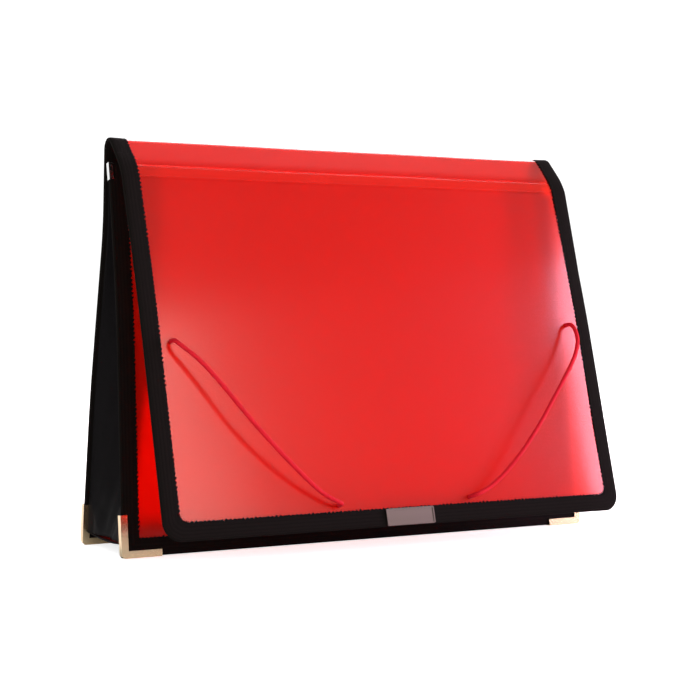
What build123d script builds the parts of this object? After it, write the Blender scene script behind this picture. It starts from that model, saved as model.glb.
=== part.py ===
"""Document bag: frosted sheets bound in black tape, with a fold-over flap.

Sizes are millimetres. +Z is up, the flap hangs on the -Y side, and X runs along the width.
The origin is on the floor, under the middle of the bag's outer box.
Side-view points are (Y, Z) on the middle of a sheet's thickness.
"""
import math
import os

from build123d import *

# Sheets, tape and cord
SHEET = 1.0                # thickness of the frosted sheets
STRIP = 0.7                # thickness of the sheet where it is pressed between the two creases
BOUND = 2.6                # thickness over the folded binding tape
TAPE = 11.5                # width of tape on each face
TAPE_WRAP = 1.0            # the tape stands past the sheet's cut edge by this much
CLOTH = 0.8                # gusset cloth
CORD_R = 1.4               # elastic cord radius

# Widths, as half widths from the middle
HALF_FOOT = 172.4
HALF_TOP = 167.5
BODY_HEIGHT = 252.0

# Side view of the bag, foot first
FOOT = 0.55
REAR_SIDE = [(62.8, FOOT), (52.6, 95.0), (33.2, 203.0), (32.8, BODY_HEIGHT)]
REAR_BENDS = [600, 190]
FRONT_SIDE = [(-7.3, FOOT), (8.0, 152.0), (26.0, 244.0)]
FRONT_BENDS = [600]

# Fold over the top, the two creases, and the flap
FOLD_R = 6.5
CREASE_1 = (6.6, 241.5)
CREASE_2 = (3.0, 234.4)
FLAP_BELLY = (-22.5, 160.0)
FLAP_FOOT = (-62.7, 16.2)
FLAP_BEND = 1200
CREASE_BEND = 12
FLAP_CORNER_R = 12.0
FLAP_WINDOW_R = 5.0
CREASE_GAP = 0.7           # half of the slit left at a crease between two moving bodies
FOLD_GAP = 0.3             # half of the slit at the top fold
SEAM_GAP = 0.1             # half of the slit at the second crease, inside the flap

# Metal corner guards, top clips and the label plate
GUARD_LEG = 26.0
GUARD_FLANGE = 4.0
GUARD_WALL = 0.5
GUARD_ROOM = 0.35
GUARD_CORNER_R = 3.0
CLIP_LENGTH = 11.0
CLIP_FLANGE = 2.5
CLIP_WALL = 0.5
LABEL_SIZE = (35.0, 10.8)
LABEL_PLATE = 0.7
LABEL_RIM = 0.9
LABEL_RIM_HEIGHT = 0.4

# Gussets
GUSSET_ARM = 34.5          # cloth from a panel to the inward fold
GUSSET_INSET = 4.6         # from the bag's side to the gusset's sewn edges
GUSSET_ROOM = 0.3          # between cloth and tape, where the panels are closest
GUSSET_ROOM_LOW = 1.0      # lower down, where the panels are bowed
GUSSET_LEVELS = [9.2, 50.0, 95.0, 152.0, 203.0, 241.0]
FLOOR_LEVEL = 8.0
FLOOR_SAG = 1.5

# Elastic: holes in the flap as (X, Z), and the free arcs' routes from hole to hole
HOLE_CLEARANCE = 0.3
CORD_LIFT = 0.8            # where the free arcs start, in front of the middle of the sheet
CORD_EXIT = 6.0            # how far they run straight out
UPPER_HOLES = {"left": (-149.5, 133.0), "right": (146.0, 141.0)}
LOWER_HOLES = {"left": (-49.5, 31.0), "right": (46.6, 31.0)}
STOP_R = 3.0
STOP_LENGTH = 4.5
ARC_ROUTES = {
    "left": [(-147.7, -40.7, 131.5), (-139.5, -45.7, 124.6), (-127.5, -52.2, 110.2),
             (-110.8, -60.1, 87.1), (-90.4, -64.8, 64.1), (-73.8, -65.5, 48.1),
             (-62.8, -64.3, 39.2), (-53.2, -66.0, 34.2)],
    "right": [(146.6, -38.6, 137.8), (143.9, -45.2, 130.0), (136.3, -50.6, 118.0),
              (118.2, -57.1, 97.7), (93.4, -63.6, 68.4), (71.6, -65.4, 46.5),
              (58.2, -64.5, 36.7), (50.4, -66.0, 34.0)],
}

FAR = 400.0                # longer than the bag, for cutting


def between(low, high, share):
    """Point that lies a share of the way from low to high."""
    return tuple(a + (b - a) * share for a, b in zip(low, high))


def towards(start, end, distance):
    """Point on the line from start to end, at a distance from start."""
    return between(start, end, distance / math.dist(start, end))


def side_y(corners, z):
    """Y of a side-view outline at height z, on its straight runs."""
    for low, high in zip(corners, corners[1:]):
        if z <= high[1]:
            return between(low, high, (z - low[1]) / (high[1] - low[1]))[0]
    return corners[-1][0]


def half_width(z):
    """Half width of the body at height z."""
    return HALF_FOOT + (HALF_TOP - HALF_FOOT) * z / BODY_HEIGHT


def side_profile(corners, bends, thickness):
    """Strip of even thickness along a side-view outline."""
    with BuildSketch(Plane.YZ) as profile:
        with BuildLine():
            if len(corners) > 2:
                FilletPolyline(*corners, radius=bends)
            else:
                Polyline(*corners)
        trace(line_width=thickness)
    return profile.sketch


def body_outline(inset, low, high):
    """Front view of a body panel, drawn in by inset at its sides."""
    with BuildSketch(Plane.XZ) as outline:
        with BuildLine():
            Polyline((inset - half_width(low), low), (half_width(low) - inset, low),
                     (half_width(high) - inset, high), (inset - half_width(high), high), close=True)
        make_face()
    return outline.sketch


def flap_outline(inset, corner_r):
    """Front view of the flap, drawn in by inset, with rounded lower corners."""
    low = FLAP_FOOT[1] + inset
    side = HALF_TOP - inset
    with BuildSketch(Plane.XZ) as outline:
        with BuildLine():
            FilletPolyline((-side, FAR), (-side, low), (side, low), (side, FAR), radius=corner_r)
            Line((side, FAR), (-side, FAR))
        make_face()
    return outline.sketch


def flap_plane(x, z):
    """Plane on the lower flap's mid surface, Z outwards, at width x and height z."""
    down = (Vector(0, *FLAP_FOOT) - Vector(0, *FLAP_BELLY)).normalized()
    out = Vector(0, down.Z, -down.Y)
    y = between(FLAP_BELLY, FLAP_FOOT, (FLAP_BELLY[1] - z) / (FLAP_BELLY[1] - FLAP_FOOT[1]))[0]
    return Plane(origin=(x, y, z), x_dir=(1, 0, 0), z_dir=out)


def panel_plane(x, low, high):
    """Plane on a body panel at its point low, Y up along the panel, Z out of it."""
    up = (Vector(0, *high) - Vector(0, *low)).normalized()
    return Plane(origin=(x, *low), x_dir=(1, 0, 0), z_dir=Vector(0, -up.Z, up.Y))


# Side-view outlines of the sheet over the top
rear_top = (REAR_SIDE[-1][0], BODY_HEIGHT + FOLD_GAP)
fold_centre = (rear_top[0] - FOLD_R, rear_top[1])
fold_end = (fold_centre[0] - FOLD_R * math.sin(math.radians(45)),
            fold_centre[1] + FOLD_R * math.sin(math.radians(45)))
fold_peak = (fold_centre[0], fold_centre[1] + FOLD_R)
spine_foot = towards(CREASE_1, fold_end, CREASE_GAP)
strip_top = towards(CREASE_1, CREASE_2, CREASE_GAP)
strip_foot = towards(CREASE_2, CREASE_1, SEAM_GAP)
flap_top = towards(CREASE_2, FLAP_BELLY, SEAM_GAP)
flap_end = towards(FLAP_FOOT, FLAP_BELLY, -BOUND)
rear_corners = REAR_SIDE[:-1] + [(REAR_SIDE[-1][0], BODY_HEIGHT - FOLD_GAP)]


def spine_profile(thickness):
    """Strip over the top: the fold, then the straight run to the first crease."""
    with BuildSketch(Plane.YZ) as profile:
        with BuildLine():
            ThreePointArc(rear_top, (fold_centre[0] + FOLD_R * math.cos(math.radians(67.5)),
                                     fold_centre[1] + FOLD_R * math.sin(math.radians(67.5))), fold_end)
            Line(fold_end, spine_foot)
        trace(line_width=thickness)
    return profile.sketch


parts = []


def finish(builder, name):
    """Labels a finished piece and keeps it for writing."""
    builder.part.label = name
    parts.append(builder.part)


# Rear panel and its binding: left, foot and right, open at the top fold
with BuildPart() as rear_panel:
    extrude(side_profile(rear_corners, REAR_BENDS, SHEET), amount=HALF_FOOT, both=True)
    extrude(body_outline(TAPE_WRAP, FOOT + TAPE_WRAP, FAR), amount=FAR, both=True, mode=Mode.INTERSECT)
finish(rear_panel, "rear_panel")

with BuildPart() as rear_binding:
    extrude(side_profile(rear_corners, REAR_BENDS, BOUND), amount=HALF_FOOT, both=True)
    extrude(body_outline(0, -TAPE, FAR), amount=FAR, both=True, mode=Mode.INTERSECT)
    extrude(body_outline(TAPE, FOOT + TAPE, FAR), amount=FAR, both=True, mode=Mode.SUBTRACT)
    add(rear_panel.part, mode=Mode.SUBTRACT)
finish(rear_binding, "rear_binding")

# Front panel: the same sheet, with no tape along its top edge
with BuildPart() as front_panel:
    extrude(side_profile(FRONT_SIDE, FRONT_BENDS, SHEET), amount=HALF_FOOT, both=True)
    extrude(body_outline(TAPE_WRAP, FOOT + TAPE_WRAP, FAR), amount=FAR, both=True, mode=Mode.INTERSECT)
finish(front_panel, "front_panel")

with BuildPart() as front_binding:
    extrude(side_profile(FRONT_SIDE, FRONT_BENDS, BOUND), amount=HALF_FOOT, both=True)
    extrude(body_outline(0, -TAPE, FAR), amount=FAR, both=True, mode=Mode.INTERSECT)
    extrude(body_outline(TAPE, FOOT + TAPE, FAR), amount=FAR, both=True, mode=Mode.SUBTRACT)
    add(front_panel.part, mode=Mode.SUBTRACT)
finish(front_binding, "front_binding")

# Spine: the sheet over the top, taped at its two ends
with BuildPart() as spine_sheet:
    extrude(spine_profile(SHEET), amount=HALF_TOP - TAPE_WRAP, both=True)
finish(spine_sheet, "spine_sheet")

for side, sign in (("left", -1), ("right", 1)):
    with BuildPart() as spine_binding:
        extrude(spine_profile(BOUND), amount=HALF_TOP, both=True)
        with BuildSketch(Plane.XZ):
            with Locations((sign * (HALF_TOP - TAPE / 2), BODY_HEIGHT)):
                Rectangle(TAPE, FAR)
        extrude(amount=FAR, both=True, mode=Mode.INTERSECT)
        add(spine_sheet.part, mode=Mode.SUBTRACT)
    finish(spine_binding, "spine_binding_" + side)

# Flap: the pressed strip between the creases, the main sheet with its four cord holes, the tape
with BuildPart() as crease_strip:
    extrude(side_profile([strip_top, strip_foot], [], STRIP), amount=HALF_TOP - TAPE_WRAP, both=True)
finish(crease_strip, "crease_strip")

with BuildPart() as flap_panel:
    extrude(side_profile([flap_top, FLAP_BELLY, flap_end], [FLAP_BEND], SHEET), amount=HALF_TOP, both=True)
    extrude(flap_outline(TAPE_WRAP, FLAP_CORNER_R - TAPE_WRAP), amount=FAR, both=True, mode=Mode.INTERSECT)
    for x, z in list(UPPER_HOLES.values()) + list(LOWER_HOLES.values()):
        with BuildSketch(flap_plane(x, z)):
            Circle(CORD_R + HOLE_CLEARANCE)
        extrude(amount=BOUND, both=True, mode=Mode.SUBTRACT)
finish(flap_panel, "flap_panel")

with BuildPart() as flap_binding:
    extrude(side_profile([strip_top, CREASE_2, FLAP_BELLY, flap_end], [CREASE_BEND, FLAP_BEND], BOUND),
            amount=HALF_TOP, both=True)
    extrude(flap_outline(0, FLAP_CORNER_R), amount=FAR, both=True, mode=Mode.INTERSECT)
    extrude(flap_outline(TAPE, FLAP_WINDOW_R), amount=FAR, both=True, mode=Mode.SUBTRACT)
    add(flap_panel.part, mode=Mode.SUBTRACT)
    add(crease_strip.part, mode=Mode.SUBTRACT)
finish(flap_binding, "flap_binding")

# Corner guards: folded metal channels over the feet of both panels
for panel, corners in (("front", FRONT_SIDE), ("rear", REAR_SIDE)):
    for side, sign in (("left", -1), ("right", 1)):
        base = panel_plane(sign * HALF_FOOT, corners[0], corners[1])
        edge = sign * GUARD_WALL
        with BuildPart() as guard:
            with BuildSketch(base):
                with BuildLine():
                    Polyline((edge, -GUARD_WALL), (edge, GUARD_LEG), (-sign * GUARD_FLANGE, GUARD_LEG),
                             (-sign * GUARD_FLANGE, GUARD_FLANGE), (-sign * GUARD_LEG, GUARD_FLANGE),
                             (-sign * GUARD_LEG, -GUARD_WALL), close=True)
                make_face()
            extrude(amount=BOUND / 2 + GUARD_ROOM + GUARD_WALL, both=True)
            upright = guard.edges().filter_by(Axis((0, 0, 0), base.z_dir))
            outer_corner = upright.sort_by_distance(base.from_local_coords((edge, -GUARD_WALL, 0)))[0]
            fillet(outer_corner, GUARD_CORNER_R)
            with BuildSketch(base):
                with Locations((-sign * GUARD_LEG, GUARD_LEG)):
                    Rectangle(2 * GUARD_LEG, 2 * GUARD_LEG)
            extrude(amount=BOUND / 2 + GUARD_ROOM, both=True, mode=Mode.SUBTRACT)
            split(bisect_by=Plane.XY, keep=Keep.TOP)
        finish(guard, "corner_" + panel + "_" + side)

# Small clips that pinch the front binding's two top ends
for side, sign in (("left", -1), ("right", 1)):
    top = panel_plane(sign * HALF_TOP, FRONT_SIDE[-1], towards(FRONT_SIDE[-1], FRONT_SIDE[-2], -1))
    with BuildPart() as clip:
        with BuildSketch(top):
            with Locations((sign * (CLIP_WALL - CLIP_FLANGE) / 2, -CLIP_LENGTH / 2)):
                Rectangle(CLIP_WALL + CLIP_FLANGE, CLIP_LENGTH)
        extrude(amount=BOUND / 2 + CLIP_WALL, both=True)
        with BuildSketch(top):
            with Locations((-sign * CLIP_LENGTH / 2, -CLIP_LENGTH / 2)):
                Rectangle(CLIP_LENGTH, 2 * CLIP_LENGTH)
        extrude(amount=BOUND / 2, both=True, mode=Mode.SUBTRACT)
        add(front_binding.part, mode=Mode.SUBTRACT)
    finish(clip, "clip_" + side)

# Label plate: blank metal with a raised rim, in the middle of the flap's lower tape
label_z = FLAP_FOOT[1] + LABEL_SIZE[1] / 2
with BuildPart() as label_plate:
    with BuildSketch(flap_plane(0, label_z).offset(BOUND / 2)):
        RectangleRounded(*LABEL_SIZE, 0.8)
    extrude(amount=LABEL_PLATE + LABEL_RIM_HEIGHT)
    with BuildSketch(flap_plane(0, label_z).offset(BOUND / 2 + LABEL_PLATE)):
        RectangleRounded(LABEL_SIZE[0] - 2 * LABEL_RIM, LABEL_SIZE[1] - 2 * LABEL_RIM, 0.4)
    extrude(amount=LABEL_RIM_HEIGHT, mode=Mode.SUBTRACT)
finish(label_plate, "label_plate")

# Side gussets: cloth folded inwards, deeper where the panels come together
for side, sign in (("left", -1), ("right", 1)):
    with BuildPart() as gusset:
        for z in GUSSET_LEVELS:
            room = GUSSET_ROOM if z == GUSSET_LEVELS[-1] else GUSSET_ROOM_LOW
            near = side_y(FRONT_SIDE, z) + BOUND / 2 + room
            far = side_y(REAR_SIDE, z) - BOUND / 2 - room
            middle = (near + far) / 2
            depth = math.sqrt(GUSSET_ARM ** 2 - ((far - near) / 2) ** 2)
            along_y = CLOTH * GUSSET_ARM / depth
            along_x = CLOTH * GUSSET_ARM / ((far - near) / 2)
            edge = half_width(z) - GUSSET_INSET
            with BuildSketch(Plane.XY.offset(z)):
                with BuildLine():
                    Polyline((sign * edge, near), (sign * (edge - depth), middle), (sign * edge, far),
                             (sign * edge, far - along_y), (sign * (edge - depth + along_x), middle),
                             (sign * edge, near + along_y), close=True)
                make_face()
        loft(ruled=True)
    finish(gusset, "gusset_" + side)

# Floor gusset between the two feet
with BuildPart() as gusset_floor:
    near = side_y(FRONT_SIDE, FLOOR_LEVEL) + BOUND / 2 + GUSSET_ROOM
    far = side_y(REAR_SIDE, FLOOR_LEVEL) - BOUND / 2 - GUSSET_ROOM
    dip = ((near + far) / 2, FLOOR_LEVEL - FLOOR_SAG)
    extrude(side_profile([(near, FLOOR_LEVEL), dip, (far, FLOOR_LEVEL)], [100], CLOTH),
            amount=half_width(FLOOR_LEVEL) - GUSSET_INSET, both=True)
finish(gusset_floor, "gusset_floor")


def cord_route(points, bends):
    """Straight runs joined by tangent arcs."""
    with BuildLine() as route:
        FilletPolyline(*points, radius=bends)
    return route.wires()[0]


def cord_section(line):
    """Round section at the start of a cord's route."""
    with BuildSketch(Plane(origin=line @ 0, z_dir=line % 0)) as section:
        Circle(CORD_R)
    return section.sketch


def corner_radii(points):
    """Radius at each corner: as large as the shorter run beside it allows."""
    radii = []
    for before, here, after in zip(points, points[1:], points[2:]):
        run_in = Vector(*here) - Vector(*before)
        run_out = Vector(*after) - Vector(*here)
        turn = math.radians(run_in.get_angle(run_out))
        radii.append(0.45 * min(run_in.length, run_out.length) / math.tan(turn / 2))
    return radii


# Elastic: a free arc on each side, a straight run behind the flap, and a stop at each end
for side in ("left", "right"):
    start = flap_plane(*UPPER_HOLES[side])
    end = flap_plane(*LOWER_HOLES[side])
    points = [tuple(start.offset(CORD_LIFT).origin), tuple(start.offset(CORD_EXIT).origin), *ARC_ROUTES[side],
              tuple(end.offset(CORD_EXIT).origin), tuple(end.offset(CORD_LIFT).origin)]
    radii = corner_radii(points)
    print("elastic_" + side, "radii", [round(r, 1) for r in radii])
    line = cord_route(points, radii)
    with BuildPart() as elastic:
        sweep(cord_section(line), path=line)
    tube = line.length * math.pi * CORD_R ** 2
    print("  length", round(line.length, 1), "volume against the tube's", round(elastic.part.volume / tube, 4))
    finish(elastic, "elastic_" + side)

    with BuildPart() as stop:
        with BuildSketch(start.offset(-SHEET / 2 - HOLE_CLEARANCE - STOP_LENGTH)):
            Circle(STOP_R)
        extrude(amount=STOP_LENGTH)
        fillet(stop.faces().sort_by(Axis((0, 0, 0), start.z_dir))[0].edges(), 1.2)
        with BuildSketch(start.offset(-SHEET / 2 - HOLE_CLEARANCE)):
            Circle(CORD_R)
        extrude(amount=SHEET / 2 + HOLE_CLEARANCE + CORD_LIFT)
    finish(stop, "elastic_stop_" + side)

left_hole = flap_plane(*LOWER_HOLES["left"])
right_hole = flap_plane(*LOWER_HOLES["right"])
back_depth = -SHEET / 2 - CORD_R - HOLE_CLEARANCE
back_line = cord_route([tuple(left_hole.offset(CORD_LIFT).origin), tuple(left_hole.offset(back_depth).origin),
                        tuple(right_hole.offset(back_depth).origin),
                        tuple(right_hole.offset(CORD_LIFT).origin)], CORD_R + HOLE_CLEARANCE)
with BuildPart() as elastic_back:
    sweep(cord_section(back_line), path=back_line)
finish(elastic_back, "elastic_back")

# Hinge lines on the outer faces, where the folded sheet turns
first = (Vector(*CREASE_1) - Vector(*fold_end)).normalized()
second = (Vector(*CREASE_2) - Vector(*CREASE_1)).normalized()
outward = (Vector(first.Y, -first.X) + Vector(second.Y, -second.X)).normalized()
reach = BOUND / 2 / math.cos(math.radians(first.get_angle(second) / 2))
crease_axis = Vector(*CREASE_1) + outward * reach
print("flap crease axis", round(crease_axis.X, 2), round(crease_axis.Y, 2))
print("top fold axis", round(REAR_SIDE[-1][0] + BOUND / 2, 2), BODY_HEIGHT)

os.makedirs("parts", exist_ok=True)
for piece in parts:
    export_step(piece, "parts/" + piece.label + ".step")
arcs = ("elastic_left", "elastic_right")
bag = Compound(children=[piece for piece in parts if piece.label not in arcs]).bounding_box()
print("pieces", len(parts), "box without the free cords", bag.min, bag.max)
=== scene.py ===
# %% [markdown]
# This bag carries papers between two frosted red sheets. The back sheet folds over the top and hangs down
# in front as a flap. A black woven tape binds every cut edge, cloth gussets close the sides and the floor,
# four folded metal guards protect the feet, and an elastic cord stands off the flap in two arcs.
#
# The solids come packed in a frame, with the bodies that move. A solid is right in size but too plain to
# look at, so this script lays the soft pieces again, with ripples, wrinkles and woven teeth, and gives
# every piece its finish. Bump alone could paint such detail on the solids, but the outline of a tape or the
# fold of a cloth shows against the light, so it is real geometry.
#
# The frame is in metres, with +Z up, the flap on the -Y side and the floor at Z = 0. Lengths in this script
# are in millimetres and are turned into metres by MM, unless a comment says otherwise.

# %% Load the frame
import math

import bmesh
import bpy
from mathutils import Matrix, Vector, noise


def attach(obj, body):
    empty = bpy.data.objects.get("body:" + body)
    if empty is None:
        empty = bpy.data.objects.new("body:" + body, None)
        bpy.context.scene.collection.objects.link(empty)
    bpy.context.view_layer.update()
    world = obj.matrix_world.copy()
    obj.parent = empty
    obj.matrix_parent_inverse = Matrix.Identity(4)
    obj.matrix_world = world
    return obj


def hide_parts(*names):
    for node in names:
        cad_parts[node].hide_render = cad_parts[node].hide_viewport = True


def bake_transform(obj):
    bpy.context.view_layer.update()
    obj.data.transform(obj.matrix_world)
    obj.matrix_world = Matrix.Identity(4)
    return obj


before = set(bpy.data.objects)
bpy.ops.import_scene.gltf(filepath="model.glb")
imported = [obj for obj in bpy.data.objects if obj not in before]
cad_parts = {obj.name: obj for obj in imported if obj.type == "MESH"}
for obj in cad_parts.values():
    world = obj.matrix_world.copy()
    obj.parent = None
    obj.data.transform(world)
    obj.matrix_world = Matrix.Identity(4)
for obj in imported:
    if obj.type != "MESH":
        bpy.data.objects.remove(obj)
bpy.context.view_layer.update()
MM = 0.001

# %% [markdown]
# The picture to match was taken from in front and a little to the left, almost level with the middle of the
# bag. A near camera would make the upright edges lean together. A long lens from over a metre away keeps
# them nearly parallel, as they are in the picture. The place is in metres, worked out from where the bag's
# own corners fall in the picture, and the lens and the sensor are in millimetres, as on a real camera.

# %% Camera
CAMERA_PLACE = Vector((-0.5389, -0.9542, 0.1544))
CAMERA_TURN = math.radians(29.05)
CAMERA_TILT = math.radians(-1.52)
FOCAL_LENGTH = 85.06
SENSOR = 36.0

camera_data = bpy.data.cameras.new("camera")
camera_data.lens = FOCAL_LENGTH
camera_data.sensor_width = SENSOR
camera = bpy.data.objects.new("camera", camera_data)
camera.location = CAMERA_PLACE
camera.rotation_euler = (math.pi / 2 + CAMERA_TILT, 0, -CAMERA_TURN)
bpy.context.scene.collection.objects.link(camera)
bpy.context.scene.camera = camera
print("camera", round(CAMERA_PLACE.length, 3), "m from the middle of the foot")

# %% [markdown]
# A material in Blender is a small network of nodes. The steps that every material repeats become helpers
# here: do some maths on a pattern, fetch coordinates, start a node group, place it with values of its own.
# Each hands back the socket or node that the next step needs.
#
# Patterns that several materials share are node groups. A group has named inputs and gives out only a mask
# or a height, so the shader itself stays in each material, where it is easy to find and change.


# %% Helpers for nodes
def add_math(tree, operation, first, second=None):
    """Math node whose inputs are sockets or numbers."""
    node = tree.nodes.new("ShaderNodeMath")
    node.operation = operation
    for slot, value in zip(node.inputs, (first, second)):
        if isinstance(value, bpy.types.NodeSocket):
            tree.links.new(value, slot)
        elif value is not None:
            slot.default_value = value
    return node.outputs[0]


def coordinates(tree, kind):
    """Object, UV or Generated coordinates."""
    return tree.nodes.new("ShaderNodeTexCoord").outputs[kind]


def new_group(name, inputs, outputs):
    """Empty node group with a number for each input, a vector, and a value for each output."""
    group = bpy.data.node_groups.new(name, "ShaderNodeTree")
    for label, default in inputs:
        socket = group.interface.new_socket(label, in_out="INPUT", socket_type="NodeSocketFloat")
        socket.default_value = default
    group.interface.new_socket("Vector", in_out="INPUT", socket_type="NodeSocketVector")
    for label in outputs:
        group.interface.new_socket(label, in_out="OUTPUT", socket_type="NodeSocketFloat")
    return group, group.nodes.new("NodeGroupInput"), group.nodes.new("NodeGroupOutput")


def use_group(tree, group, values):
    """Places a group in a material, with its own input values."""
    node = tree.nodes.new("ShaderNodeGroup")
    node.node_tree = group
    for label, value in values.items():
        node.inputs[label].default_value = value
    return node


# %% [markdown]
# The Principled BSDF can stand for plastic, cloth and metal alike, so every material here starts from one.
# A pattern can drive it in three ways: it can blend two colours, move the roughness up and down, or push
# the surface in and out as a bump. These helpers do just that.


# %% Helpers for materials
def new_material(name, base, roughness, metallic=0.0):
    """Material with one Principled shader, and its tree and shader."""
    material = bpy.data.materials.new(name)
    material.use_nodes = True
    shader = material.node_tree.nodes["Principled BSDF"]
    shader.inputs["Base Color"].default_value = (*base, 1)
    shader.inputs["Roughness"].default_value = roughness
    shader.inputs["Metallic"].default_value = metallic
    return material, material.node_tree, shader


def blend_colours(tree, mask, first, second, shader):
    """Base colour that runs from first to second with a mask."""
    mix = tree.nodes.new("ShaderNodeMix")
    mix.data_type = "RGBA"
    tree.links.new(mask, mix.inputs["Factor"])
    mix.inputs["A"].default_value = (*first, 1)
    mix.inputs["B"].default_value = (*second, 1)
    tree.links.new(mix.outputs["Result"], shader.inputs["Base Color"])


def range_to(tree, value, low, high, socket):
    """Feeds a socket with a mask stretched between two values."""
    node = tree.nodes.new("ShaderNodeMapRange")
    tree.links.new(value, node.inputs["Value"])
    node.inputs["To Min"].default_value = low
    node.inputs["To Max"].default_value = high
    tree.links.new(node.outputs["Result"], socket)


def bump(tree, height, strength, distance, shader):
    """Bump from a height. The distance is in metres."""
    node = tree.nodes.new("ShaderNodeBump")
    node.inputs["Strength"].default_value = strength
    node.inputs["Distance"].default_value = distance
    tree.links.new(height, node.inputs["Height"])
    tree.links.new(node.outputs["Normal"], shader.inputs["Normal"])


# %% [markdown]
# Moulded and rolled surfaces are never perfectly even. Two sizes of noise describe that well: a fine one
# for the tooth of the frosting, and a broad one for the faint clouds that handling leaves. An image of a
# real surface would do too, but noise has no seams and no resolution. The scale is in cells per metre, so
# 700 gives a grain about a millimetre and a half across.

# %% Grain
GRAIN_DETAIL = 3.0


def make_grain():
    """Fine grain and broad cloudiness, from one noise each."""
    group, given, out = new_group("grain", [("Fine", 2500.0), ("Broad", 12.0)], ["Grain", "Cloud"])
    for label, source in (("Grain", "Fine"), ("Cloud", "Broad")):
        texture = group.nodes.new("ShaderNodeTexNoise")
        texture.inputs["Detail"].default_value = GRAIN_DETAIL
        group.links.new(given.outputs["Vector"], texture.inputs["Vector"])
        group.links.new(given.outputs[source], texture.inputs["Scale"])
        group.links.new(texture.outputs["Fac"], out.inputs[label])
    return group


grain = make_grain()
print("group", grain.name, "with", len(grain.nodes), "nodes")

# %% [markdown]
# Woven cloth has threads in two directions that pass over and under each other. Real threads would cost
# millions of faces, and a plain checker has hard edges. Multiplying a sine wave across by a sine wave along
# gives soft little hills where threads cross, which is how a weave catches the light. The square root of
# that height makes a broader mask for the crowns of the threads, which the cloths and the cord use to paint
# a highlight on them. The pattern reads the cloth's own UV map in metres, so the threads follow the tape
# round its corners.

# %% Weave
CROWN_POWER = 0.5


def make_weave():
    """Crossed threads: their height, and a mask that is high on the thread's crown."""
    group, given, out = new_group("weave", [("Threads", 2000.0)], ["Height", "Crown"])
    split = group.nodes.new("ShaderNodeSeparateXYZ")
    group.links.new(given.outputs["Vector"], split.inputs[0])
    turns = add_math(group, "MULTIPLY", given.outputs["Threads"], math.pi)
    waves = []
    for axis in ("X", "Y"):
        angle = add_math(group, "MULTIPLY", split.outputs[axis], turns)
        waves.append(add_math(group, "SINE", angle))
    product = add_math(group, "MULTIPLY", waves[0], waves[1])
    height = add_math(group, "ABSOLUTE", product)
    group.links.new(height, out.inputs["Height"])
    group.links.new(add_math(group, "POWER", height, CROWN_POWER), out.inputs["Crown"])
    return group


weave = make_weave()
print("group", weave.name, "with", len(weave.nodes), "nodes")

# %% [markdown]
# The sheet is frosted polypropylene. Light goes through it and scatters, so cloth that lies close behind
# shows as a soft dark patch, and what lies further away melts into the red. Subsurface scattering could do
# this, but it is slow and noisy in a sheet one millimetre thick. A high Transmission Weight with some
# roughness gives the same soft view through, while the rest of the light keeps the colour solid.
#
# The outer face is fairly smooth and mirrors the lamps in a broad soft band, and the inner face is rougher,
# as on real sheet, which is embossed on one side. The strip between the two creases lets a little less light
# through, and it is given a paler red: a painted highlight for the light that this slanting strip catches.

# %% Sheet materials
SHEET_RED = (0.84, 0.017, 0.003)
SHEET_DEEP = (0.80, 0.013, 0.002)
STRIP_PAINTED_HIGHLIGHT_RED = (0.80, 0.034, 0.018)
SHEET_THROUGH = 0.80
STRIP_THROUGH = SHEET_THROUGH * 0.8
SHEET_IOR = 1.4
OUTER_ROUGHNESS = 0.2
INNER_ROUGHNESS = 0.4
SHEET_GRAIN = {"Fine": 700.0, "Broad": 9.0}
SMOOTHER = 0.03
ROUGHER = 0.04
SHEET_BUMP = 0.03
SHEET_BUMP_METRES = 0.00003


def make_sheet(name, first, second, through, roughness=OUTER_ROUGHNESS):
    """Frosted translucent plastic."""
    material, tree, shader = new_material(name, first, roughness)
    shader.inputs["Transmission Weight"].default_value = through
    shader.inputs["IOR"].default_value = SHEET_IOR
    patterns = use_group(tree, grain, SHEET_GRAIN)
    tree.links.new(coordinates(tree, "Object"), patterns.inputs["Vector"])
    blend_colours(tree, patterns.outputs["Cloud"], first, second, shader)
    range_to(tree, patterns.outputs["Grain"], roughness - SMOOTHER, roughness + ROUGHER,
             shader.inputs["Roughness"])
    bump(tree, patterns.outputs["Grain"], SHEET_BUMP, SHEET_BUMP_METRES, shader)
    return material


sheet_material = make_sheet("frosted_red", SHEET_RED, SHEET_DEEP, SHEET_THROUGH)
# The strip's paler red is a painted highlight, for the light that the slanting strip catches.
strip_highlight_material = make_sheet("strip_painted_highlight", STRIP_PAINTED_HIGHLIGHT_RED, SHEET_RED, STRIP_THROUGH)
inner_material = make_sheet("frosted_inner_face", SHEET_RED, SHEET_DEEP, SHEET_THROUGH, INNER_ROUGHNESS)
print("sheet materials", sheet_material.name, strip_highlight_material.name, inner_material.name)

# %% [markdown]
# The binding is held by a row of machine stitches along each face of the tape. Every stitch could be a tiny
# tube, but there are hundreds and each is less than a millimetre wide. A mask does it instead: it is high
# close to a row's line across the tape, and a sawtooth along the tape breaks the line into stitches with
# gaps between them. The UV map is in metres, so these sizes are in metres as well.

# %% Stitches
STITCH_ROWS = (0.00363, 0.01574)
STITCH_WIDTH = 0.00035
STITCH_PITCH = 0.0032
STITCH_SHARE = 0.68
STITCH_RISE = 2.0


def stitch_mask(tree, uv):
    """High on the stitches that run along both faces of the tape."""
    place = tree.nodes.new("ShaderNodeSeparateXYZ")
    tree.links.new(uv, place.inputs[0])
    masks = []
    for row in STITCH_ROWS:
        away = add_math(tree, "ABSOLUTE", add_math(tree, "SUBTRACT", place.outputs["Y"], row))
        masks.append(add_math(tree, "LESS_THAN", away, STITCH_WIDTH))
    turns = add_math(tree, "DIVIDE", place.outputs["X"], STITCH_PITCH)
    drawn = add_math(tree, "LESS_THAN", add_math(tree, "FRACT", turns), STITCH_SHARE)
    return add_math(tree, "MULTIPLY", add_math(tree, "MAXIMUM", *masks), drawn)
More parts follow.
